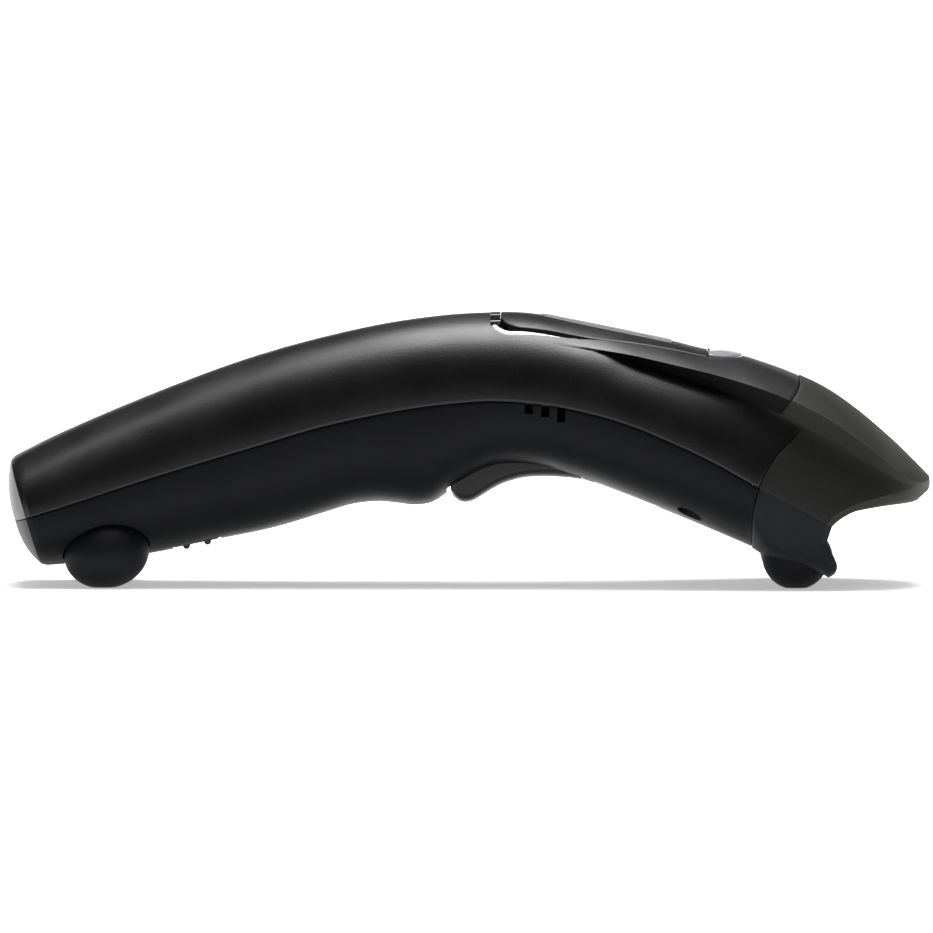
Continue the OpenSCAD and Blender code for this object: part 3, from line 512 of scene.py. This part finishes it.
def slab_profile(top, bottom, edge, steps=14):
    """Profile of a draped slab with a rounded upper edge."""
    crown = [(t, 0, top) for t in np.linspace(0, 0.97, steps)]
    bend = np.radians([0, 30, 60, 90])
    rounded = [(1, -edge * (1 - math.sin(a)), top - edge * (1 - math.cos(a))) for a in bend]
    under = [(1, 0, bottom)] + [(t, 0, bottom) for t in np.linspace(0.9, 0, 6)]
    return crown + rounded + under


# ---- Housing ---------------------------------------------------------------------------------------
def trough_outline():
    """Plan of the trough round the rear end of the plate."""
    w = PLATE_HALF_WIDTH
    half = arc(TROUGH_REAR + 4.4, w - 2.2, 4.4, 180, 88, 16) + [(19, w + 1.8), (25.5, w + 0.5)]
    return np.array(half + [(x, -y) for x, y in reversed(half)])


LENS_REAR = 46.6
LABEL = (24.4, 37.3, 9.1, 1.6)      # rear, front, half-width and corners of the label's bed
LABEL_DEPTH = 0.4


def lens_outline():
    """Plan of the lens, which is the plate's round front end."""
    front = [p for p in front_end(PLATE_ROUND, 82) if p[0] > LENS_REAR + 0.1]
    half = [(LENS_REAR, y) for y in np.linspace(0.5, 10.5, 9)] + front
    return np.array(half + [(x, -y) for x, y in reversed(half[:-1])])


def sunk(outline, spine, depth):
    """Tool that sinks a bed of that depth into the back."""
    t = list(np.linspace(0, 1, 10))
    profile = [(v, 0, -depth) for v in t] + [(1, 0, 3)] + [(v, 0, 3) for v in reversed(t[:-1])]
    return drape("tool", outline, spine, profile, n=160)


def paint_hood_band_shade(shell, slot_material):
    """Painted shade: the band between the hood's edge and the ridge is darker than the rest, standing in
    for the shade under the hood's overhang.
    """
    shell.data.materials.append(slot_material)
    for face in shell.data.polygons:
        x, y, z = face.center / MM
        under = curve(RIDGE_Z, x) < z < curve(HOOD_Z, x) - 0.05
        outside = abs(y) > curve(HOOD_Y, x) * nose_end(x) - HOOD_OVERHANG - 0.3
        face.material_index = int(x > 24 and under and outside)


def label_bed():
    """Tool that sinks the bed of the rating label into the belly."""
    x0, x1, half_width, r = LABEL
    half = arc(x0 + r, half_width - r, r, 180, 90, 6) + arc(x1 - r, half_width - r, r, 90, 0, 6)
    outline = np.array(half + [(x, -y) for x, y in reversed(half)])
    t = list(np.linspace(0, 1, 8))
    profile = [(v, 0, LABEL_DEPTH) for v in t] + [(v, 0, -3) for v in reversed(t)]
    return drape("tool", outline, (x0 + r, x1 - r), profile, n=160, height=belly_height)


VENTS = ((10.8, 12.4, 34.0), (14.0, 15.6, 33.4), (17.1, 18.7, 32.4))
REAR_FOOT, REAR_FOOT_AT, REAR_FOOT_TILT = (8.3, 8.0, 6.8), (-70.6, 13.2, 6.556), -12
FRONT_FOOT_R, FRONT_FOOT_AT, FRONT_FOOT_TOP = 6.6, (63.6, 15.5, 6.222), 7.42
SCREWS = ((-75.5, 0, 8.4), (43, 14.5, 19), (43, -14.5, 19))
TRIGGER_SLOT = ((-4.35, -8.85, 10), (22.12, 8.85, 28))
CONTACTS_AT, BELLY_TILT = (-53.1, 0, 8), math.radians(-11.7)


def rear_ball(side, g=0.0):
    x, y, z = REAR_FOOT_AT
    size = [r + g for r in REAR_FOOT]
    return turned(ball_profile(), (x, side * y, z), size, math.radians(REAR_FOOT_TILT))


def front_ball(side, g=0.0):
    x, y, z = FRONT_FOOT_AT
    return turned(ball_profile(), (x, side * y, z), [FRONT_FOOT_R + g] * 3)


def top_shell():
    rows = both_halves(border(1) + plain(SIDES + BAND + ROOF))
    shell = loft("top_shell_skin", rows, shell_path, closed=False)
    return cut(
        shell,
        sunk(trough_outline(), (8, 22), 1.4),
        sunk(plate_outline(GAP), (PLATE_REAR + 5, PLATE_FRONT - PLATE_ROUND), 1.1),
    )


def bottom_shell():
    rows = both_halves(border(-1) + plain(LOWER))
    shell = loft("bottom_shell_skin", rows, shell_path, closed=False)
    tools = [box_tool((a, -60, z), (b, 60, z + 4.4)) for a, b, z in VENTS]
    tools.append(box_tool(*TRIGGER_SLOT))
    tools += [rear_ball(side, 0.35) for side in (-1, 1)]
    for x, y, top in SCREWS:
        tools.append(turned([(2.45, -5), (2.45, top), (1.3, top), (1.3, 40)], (x, y, 0)))
    bay = box_tool((-4.4, -6.6, -3), (4.4, 6.6, 4))
    in_belly = Matrix.Translation(Vector(CONTACTS_AT) * MM)
    bay.data.transform(in_belly @ Matrix.Rotation(-BELLY_TILT, 4, "Y"))
    return cut(shell, *tools, bay, label_bed())


def nose_boot():
    half = plain(list(reversed(LOWER)) + [1] + SIDES + BAND + ROOF)
    near = [(u, -1, a, b) for u, a, b in half]
    far = [(u, 1, a, b) for u, a, b in reversed(half[1:-1])]
    boot = loft("nose_boot_skin", near + far, boot_path, closed=True)
    return cut(boot, *[front_ball(side, 0.15) for side in (-1, 1)])


def paint_boot_low_shade(boot, slot_material):
    """Painted shade: the boot's side under the parting line is darker and bluer than the rest of the boot,
    standing in for the shade and bluish reflected light on its lower faces.
    """
    boot.data.materials.append(slot_material)
    for face in boot.data.polygons:
        x, y, z = face.center / MM
        face.material_index = int(z < curve(PARTING, x) and abs(y) > 12)


def vent_shade_slab(side):
    """A thin black slab behind the vents of one side: painted shade, standing in for the dark inside seen
    through them.
    """
    xs, us = np.linspace(9.6, 20, 24), np.linspace(0.6, 0.985, 14)
    sheets = []
    for d in (WALL + 0.08, WALL + 0.4):
        p = skin(us[:, None], xs[None, :], d)
        p[..., 1] *= side
        sheets.append(p.reshape(-1, 3))
    n, m = len(us), len(xs)
    starts = [i * m + j for i in range(n - 1) for j in range(m - 1)]
    quads = [(a, a + 1, a + m + 1, a + m) for a in starts]
    edge = [j for j in range(m)] + [i * m + m - 1 for i in range(1, n)]
    edge += [(n - 1) * m + j for j in range(m - 2, -1, -1)] + [i * m for i in range(n - 2, 0, -1)]
    faces = quads + [tuple(v + n * m for v in q) for q in quads]
    faces += [(a, b, b + n * m, a + n * m) for a, b in zip(edge, edge[1:] + edge[:1])]
    return make_object(f"vent_shade_slab_{side + 1}", np.concatenate(sheets) * MM, faces)


def foot(name, ball, top=None):
    """A ball foot with the flat worn under it, cut off at top where it meets its seat."""
    ball.name = name
    bm = bmesh.new()
    bm.from_mesh(ball.data)
    for z, way in [(0, -1)] + ([(top * MM, 1)] if top else []):
        geom = list(bm.verts) + list(bm.edges) + list(bm.faces)
        bmesh.ops.bisect_plane(bm, geom=geom, plane_co=(0, 0, z), plane_no=(0, 0, way), clear_outer=True)
        bmesh.ops.holes_fill(bm, edges=[e for e in bm.edges if e.is_boundary])
    bmesh.ops.recalc_face_normals(bm, faces=bm.faces)
    bm.to_mesh(ball.data)
    bm.free()
    smooth(ball)
    return ball


# ---- Pieces on the back ----------------------------------------------------------------------------
def top_plate():
    rear = plate_outline()
    rear[:, 0] = np.minimum(rear[:, 0], LENS_REAR - GAP)
    return drape("top_plate_skin", rear, (PLATE_REAR + 5, 44), slab_profile(0.06, -1, 0.35), n=420)


def badge_strip():
    half = arc(15.2, 3.6, 1, 180, 110, 5) + [(20, 5.4)] + arc(38.7, 5.7, 0.8, 88, 0, 6)
    outline = np.array(half + [(x, -y) for x, y in reversed(half)])
    return drape("badge_strip_skin", outline, (18, 36), slab_profile(0.32, 0, 0.15), n=300)


def indicator_lens():
    profile = slab_profile(0.5, -0.95, 0.35)
    return drape("indicator_lens_skin", lens_outline(), (47.5, 51), profile, n=220, top=45.8)


def band(name, path, profile):
    """A draped band along a path: profile lists (width, lift) for each point, going across."""
    n, m = len(path), len(profile)
    tangent = np.gradient(path, axis=0)
    normal = np.stack([tangent[:, 1], -tangent[:, 0]], 1)
    normal /= np.linalg.norm(normal, axis=1, keepdims=True)
    normal *= np.sign(np.sum(normal * (np.array([14, 0]) - path), 1, keepdims=True))
    rings = []
    for across, lift in profile:
        q = path + normal * np.broadcast_to(across, n)[:, None]
        rings.append(np.column_stack([q, roof_height(q[:, 0], q[:, 1]) + lift]))
    faces = []
    for i in range(m):
        for j in range(n - 1):
            k = (i + 1) % m
            faces.append((i * n + j, i * n + j + 1, k * n + j + 1, k * n + j))
    faces += [tuple(i * n for i in range(m)), tuple(i * n + n - 1 for i in range(m))]
    return make_object(name, np.concatenate(rings) * MM, faces)


def light_guide():
    """White trim: a bar behind the plate and two beads that taper out along its sides."""
    outline = resample(trough_outline(), 600)
    parts = []
    for side in (-1, 1):
        path = outline[(outline[:, 1] * side > 10.6) & (outline[:, 0] < 21)]
        path = path[np.argsort(path[:, 0])]
        wide = 0.1 + 1.1 * ease(20.5, 9, path[:, 0])
        parts.append(band("bead", path, [
            (0.1, -1.3), (0.1, -0.2), (0.1 + 0.15 * wide, -0.02), (0.1 + 0.5 * wide, 0.02),
            (0.1 + 0.85 * wide, -0.05), (0.1 + wide, -0.25), (0.1 + wide, -1.3),
        ]))
    y = np.linspace(-8.9, 8.9, 40)
    rear = np.column_stack([np.full(40, TROUGH_REAR), y])
    bar = [(0.03, -1.3), (0.03, -0.1), (0.1, -0.02), (1.95, -0.02), (2.02, -0.1), (2.02, -1.3)]
    parts.append(band("bar", rear, bar))
    return join(parts, "light_guide_skin")


def guide_ribs():
    """Black ribs across the bar behind the plate."""
    rib = [(0.02, -1.35), (0.02, -0.02), (0.07, 0.03), (1.98, 0.03), (2.03, -0.02), (2.03, -1.35)]
    parts = []
    for y0, y1 in ((-3.7, 3.7), (-8.5, -5), (5, 8.5), (-10.4, -9), (9, 10.4)):
        y = np.linspace(y0, y1, 8)
        path = np.column_stack([np.full(8, TROUGH_REAR), y])
        parts.append(band("rib", path, rib))
    return join(parts, "guide_ribs")


# ---- Trigger ---------------------------------------------------------------------------------------
TRIGGER_LINE = [
    (-3.6, 18.6), (-3, 17.3), (-1.8, 16.4), (-0.5, 16.2), (1, 16.6), (3, 17.8), (5.5, 19.3),
    (8, 20.3), (11, 21), (15, 21.2), (19, 21), (22, 20.6),
]
PIVOT = (20.5, 0, 26.8)
TRIGGER_HALF_WIDTH = 8.5
TRIGGER_ROUND = (4, 2)              # width and height of the pad's rounded sides
LUG_HALF_WIDTH = 1.2


def trigger():
    """The finger pad with its rim, and inside it two lugs, a stop and a post for the switch."""
    w = TRIGGER_HALF_WIDTH
    bend = np.radians(np.linspace(0, 90, 12))
    wide, high = TRIGGER_ROUND
    steps = np.linspace(0, len(TRIGGER_LINE) - 1, 90)
    ids = range(len(TRIGGER_LINE))
    xs = curve([(i, p[0]) for i, p in zip(ids, TRIGGER_LINE)], steps)
    zs = curve([(i, p[1]) for i, p in zip(ids, TRIGGER_LINE)], steps)
    half = [(w - wide + wide * math.sin(a), high * (1 - math.cos(a))) for a in bend]
    verts, faces = [], []
    for x, z in zip(xs, zs):
        rim = 23.2 + 1.5 * float(ease(17, 12, x))
        ring = [(0, z), (w - 6, z)] + [(y, z + up) for y, up in half] + [(w, rim - 0.15), (w - 0.15, rim)]
        verts += [(x, y, h) for y, h in ring] + [(x, -y, h) for y, h in reversed(ring[1:])]
    m = len(verts) // len(xs)
    for i in range(len(xs) - 1):
        for j in range(m):
            k = (j + 1) % m
            faces.append((i * m + j, i * m + k, (i + 1) * m + k, (i + 1) * m + j))
    faces += [tuple(range(m)), tuple(range((len(xs) - 1) * m, len(xs) * m))]
    pad = cut(
        make_object("trigger_skin", np.array(verts) * MM, faces),
        box_tool((-2, -6.9, 22.6), (17, 6.9, 30)),
    )
    parts = [pad]
    x, _, z = PIVOT
    t = LUG_HALF_WIDTH
    for y in (-5.5, 5.5):
        lug = turned([(1.05, -t), (2.4, -t), (2.4, t), (1.05, t)], count=48, name="lug")
        close_bore(lug)
        at_pivot = Matrix.Translation(Vector((x, y, z)) * MM)
        lug.data.transform(at_pivot @ Matrix.Rotation(math.pi / 2, 4, "X"))
        parts += [lug, box_tool((x - 2.3, y - t, 22.6), (x + 1.4, y + t, z - 1.2))]
    parts.append(box_tool((2.8, -2, 22), (5.2, 2, 29.5)))
    parts.append(turned([(1.7, 21.8), (1.7, 23.9), (1.4, 24)], (11, 0, 0), count=40))
    return join(parts, "trigger_skin")


def close_bore(obj):
    """Takes the end caps off a turned ring and joins its first and last circles."""
    bm = bmesh.new()
    bm.from_mesh(obj.data)
    caps = [f for f in bm.faces if len(f.verts) > 4]
    bmesh.ops.delete(bm, geom=caps, context="FACES_ONLY")
    bmesh.ops.bridge_loops(bm, edges=[e for e in bm.edges if e.is_boundary])
    bmesh.ops.recalc_face_normals(bm, faces=bm.faces)
    bm.to_mesh(obj.data)
    bm.free()


def join(objs, name):
    """One object from several."""
    bm = bmesh.new()
    for o in objs:
        bm.from_mesh(o.data)
    mesh = bpy.data.meshes.new(name)
    bm.to_mesh(mesh)
    bm.free()
    for o in objs:
        bpy.data.objects.remove(o)
    out = bpy.data.objects.new(name, mesh)
    bpy.context.scene.collection.objects.link(out)
    smooth(out)
    return out


# ---- Materials -----------------------------------------------------------------------------------------
GRAIN_DEPTH = 0.00008   # metres


def material(name, colour, rough, grain, bump, spread=0.12, smudge=0.05, wear=0.0, metal=0.0,
             coat=0.0, clear=0.0, level=0.5):
    """A procedural surface: fine grain in the bump, slow colour and gloss variation, worn edges."""
    m = bpy.data.materials.new(name)
    m.use_nodes = True
    n, link = m.node_tree.nodes, m.node_tree.links.new
    shader = n["Principled BSDF"]
    place = n.new("ShaderNodeTexCoord").outputs["Object"]

    def noise(scale, detail=2.0):
        t = n.new("ShaderNodeTexNoise")
        t.inputs["Scale"].default_value = scale
        t.inputs["Detail"].default_value = detail
        link(place, t.inputs["Vector"])
        return t.outputs["Fac"]

    def ramp(source, low, high, a=0.3, b=0.7):
        r = n.new("ShaderNodeValToRGB")
        r.color_ramp.elements[0].position, r.color_ramp.elements[1].position = a, b
        r.color_ramp.elements[0].color, r.color_ramp.elements[1].color = low, high
        link(source, r.inputs["Fac"])
        return r.outputs["Color"]

    low = (*[c * (1 - spread) for c in colour], 1)
    high = (*[min(1, c * (1 + spread)) for c in colour], 1)
    base = ramp(noise(240, 4), low, high)
    if wear:
        pointed = n.new("ShaderNodeNewGeometry").outputs["Pointiness"]
        edges = ramp(pointed, (0, 0, 0, 1), (wear, wear, wear, 1), 0.52, 0.62)
        blend = n.new("ShaderNodeMix")
        blend.data_type = "RGBA"
        link(edges, blend.inputs["Factor"])
        link(base, blend.inputs["A"])
        blend.inputs["B"].default_value = (*[min(1, c * 3 + 0.02) for c in colour], 1)
        base = blend.outputs["Result"]
    link(base, shader.inputs["Base Color"])
    gloss = (max(0.02, rough - smudge),) * 3 + (1,), (min(1, rough + smudge),) * 3 + (1,)
    link(ramp(noise(90, 3), *gloss), shader.inputs["Roughness"])
    b = n.new("ShaderNodeBump")
    b.inputs["Strength"].default_value = bump
    b.inputs["Distance"].default_value = GRAIN_DEPTH
    link(noise(grain, 3), b.inputs["Height"])
    link(b.outputs["Normal"], shader.inputs["Normal"])
    shader.inputs["Metallic"].default_value = metal
    shader.inputs["Specular IOR Level"].default_value = level
    shader.inputs["Coat Weight"].default_value = coat
    shader.inputs["Transmission Weight"].default_value = clear
    return m


# Each slot's colour, roughness, grain, bump and what else differs from a plain surface
LOOKS = {
    "lower_plastic": ((0.0042, 0.0046, 0.0056), 0.4, 3400, 0.35, dict(wear=0.25, level=0.09)),
    "upper_plastic": ((0.0046, 0.0048, 0.0046), 0.36, 3400, 0.35, dict(wear=0.25, level=0.36)),
    "boot_plastic": (
        (0.017, 0.017, 0.0145), 0.55, 4200, 0.5,
        dict(spread=0.04, smudge=0.015, wear=0.3, level=0.2),
    ),
    "plate_plastic": ((0.0065, 0.0065, 0.007), 0.34, 3400, 0.25, dict(wear=0.35, level=0.3)),
    "strip_plastic": ((0.2, 0.205, 0.215), 0.32, 900, 0.05, dict(spread=0.04, level=0.3)),
    "guide_plastic": ((0.72, 0.72, 0.7), 0.16, 900, 0.04, dict(spread=0.03, coat=0.4)),
    "lens_plastic": ((0.36, 0.365, 0.38), 0.25, 700, 0.04, dict(spread=0.04, coat=0.2, level=0.3)),
    "foot_rubber": ((0.004, 0.0045, 0.006), 0.55, 2600, 0.3, dict(wear=0.15, level=0.16)),
    "trigger_plastic": ((0.0065, 0.0065, 0.007), 0.36, 3400, 0.25, dict(wear=0.3, level=0.3)),
    "pin_steel": ((0.6, 0.61, 0.63), 0.28, 1500, 0.15, dict(metal=1.0)),
    "bracket_steel": ((0.45, 0.46, 0.48), 0.4, 1800, 0.2, dict(metal=1.0)),
    "dark_plastic": ((0.012, 0.012, 0.014), 0.45, 3000, 0.3, dict(wear=0.2)),
    "pale_plastic": ((0.75, 0.73, 0.66), 0.35, 1200, 0.1, dict(spread=0.05)),
    "board": ((0.012, 0.09, 0.04), 0.32, 1400, 0.15, dict(spread=0.2, coat=0.3)),
    "chip": ((0.012, 0.012, 0.013), 0.5, 5000, 0.3, dict()),
    "can_metal": ((0.62, 0.63, 0.64), 0.34, 1800, 0.15, dict(metal=1.0)),
    "cell_sleeve": ((0.03, 0.12, 0.3), 0.25, 800, 0.15, dict(spread=0.06, coat=0.3)),
    "contact_metal": ((0.8, 0.58, 0.22), 0.24, 2200, 0.1, dict(metal=1.0)),
    "wire": ((0.5, 0.02, 0.02), 0.45, 1500, 0.1, dict()),
    "chassis_alloy": ((0.3, 0.31, 0.33), 0.42, 2600, 0.3, dict(metal=1.0)),
    "optic_glass": ((0.05, 0.06, 0.1), 0.05, 500, 0.02, dict(coat=1.0)),
    "window_glass": (
        (0.12, 0.008, 0.01), 0.04, 300, 0.01,
        dict(spread=0.1, smudge=0.02, coat=1.0, clear=0.5),
    ),
    "gasket_rubber": ((0.002, 0.002, 0.002), 0.8, 2600, 0.3, dict(level=0.1)),
    "screw_steel": ((0.09, 0.09, 0.1), 0.36, 2400, 0.2, dict(metal=1.0, wear=0.4)),
    "label": ((0.3, 0.31, 0.33), 0.42, 2000, 0.08, dict(spread=0.05)),
}
MATERIALS = {slot: material(slot, *look, **more) for slot, (*look, more) in LOOKS.items()}
SLOT_OF = {p["node"]: p["material_slot"] for p in frame["record"]["subparts"]}


def wears(obj, slot):
    obj.data.materials.clear()
    obj.data.materials.append(MATERIALS[slot])


def stands_for(piece, node):
    """Shows a piece in place of a CAD node, on the same body and with the same finish."""
    wears(piece, SLOT_OF[node])
    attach(piece, CAD[node]["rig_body"])
    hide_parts(node)


# ---- The scanner ---------------------------------------------------------------------------------------
for node, obj in CAD.items():
    wears(obj, SLOT_OF[node])
nickel = material("dark_nickel", (0.06, 0.06, 0.065), 0.4, 2200, 0.15, metal=1.0, wear=0.3)
CAD["charge_contacts"].data.materials[0] = nickel
# Painted shade, darker and bluer, for the boot's side under the parting line
boot_low_shade_material = material("boot_low_painted_shade", (0.0065, 0.0072, 0.0088), 0.48, 4200, 0.5, wear=0.3, level=0.16)
# Painted shade for the band under the hood's edge
hood_band_painted_shade = material("hood_band_painted_shade", (0.0022, 0.0023, 0.0022), 0.42, 3400, 0.35, level=0.1)

for node, build in (
    ("top_shell", top_shell), ("bottom_shell", bottom_shell), ("nose_boot", nose_boot),
    ("top_plate", top_plate), ("badge_strip", badge_strip), ("indicator_lens", indicator_lens),
    ("light_guide", light_guide), ("trigger", trigger),
):
    piece = build()
    stands_for(piece, node)
    if node == "nose_boot":
        paint_boot_low_shade(piece, boot_low_shade_material)
    if node == "top_shell":
        paint_hood_band_shade(piece, hood_band_painted_shade)

# The black slabs behind the vents are painted shade
for piece in [guide_ribs()] + [vent_shade_slab(side) for side in (-1, 1)]:
    wears(piece, "gasket_rubber")
    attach(piece, "housing")

for side, word in ((1, "left"), (-1, "right")):
    stands_for(foot(f"rear_foot_{word}_skin", rear_ball(side)), f"rear_foot_{word}")
    front = foot(f"front_foot_{word}_skin", front_ball(side), FRONT_FOOT_TOP)
    stands_for(front, f"front_foot_{word}")

# ---- Floor, backdrop, lights and camera --------------------------------------------------------------
EYE_HEIGHT, EYE_AWAY, FOCAL = 2.6, 4.0, 790       # degrees above the horizon, metres, millimetres
AIM = Vector((-0.0005, 0, 0.0229))


def glow(obj, strength):
    """A little light from the paper itself, so that shadows on it stay soft."""
    shader = obj.data.materials[0].node_tree.nodes["Principled BSDF"]
    shader.inputs["Emission Color"].default_value = (1, 1, 1, 1)
    shader.inputs["Emission Strength"].default_value = strength


def sweep():
    """A pale floor that curves up into a backdrop."""
    bend = np.radians(np.linspace(6, 84, 18))
    profile = [(-2.2, 0), (1.4, 0)]
    profile += [(1.4 + 0.4 * math.sin(a), 0.4 * (1 - math.cos(a))) for a in bend]
    verts = [(x, y, z - 0.00002) for y, z in profile for x in (-3, 3)]
    faces = [(2 * i, 2 * i + 1, 2 * i + 3, 2 * i + 2) for i in range(len(profile) - 1)]
    obj = make_object("sweep", verts, faces, 60)
    obj.data.materials.append(material("paper", (0.86, 0.86, 0.86), 0.7, 900, 0.03, spread=0.01))
    glow(obj, 0.42)


def soft_light(name, at, towards, size, watts):
    data = bpy.data.lights.new(name, "AREA")
    data.shape, data.energy = "RECTANGLE", watts
    data.size, data.size_y = size
    obj = bpy.data.objects.new(name, data)
    bpy.context.scene.collection.objects.link(obj)
    obj.location = at
    obj.rotation_euler = (Vector(towards) - Vector(at)).to_track_quat("-Z", "Y").to_euler()


sweep()
soft_light("overhead", (0.12, 0.88, 3), (0.12, 0.88, 0), (1.3, 2.35), 128)
soft_light("wide_overhead", (0.9, 0.4, 3), (0.9, 0.4, 0), (3, 4), 25)
soft_light("backdrop_light", (0, 0.3, 1.4), (0, 1.8, 0.1), (2.4, 0.8), 14)

world = bpy.data.worlds.new("studio")
world.use_nodes = True
world.node_tree.nodes["Background"].inputs["Color"].default_value = (1, 1, 1, 1)
world.node_tree.nodes["Background"].inputs["Strength"].default_value = 0.06
bpy.context.scene.world = world
bpy.context.scene.view_settings.view_transform = "Standard"

camera = bpy.data.objects.new("camera", bpy.data.cameras.new("camera"))
bpy.context.scene.collection.objects.link(camera)
camera.data.lens = FOCAL
camera.data.clip_start = 0.01
up = math.radians(EYE_HEIGHT)
camera.location = AIM + EYE_AWAY * Vector((0, -math.cos(up), math.sin(up)))
camera.rotation_euler = (AIM - camera.location).to_track_quat("-Z", "Y").to_euler()
bpy.context.scene.camera = camera
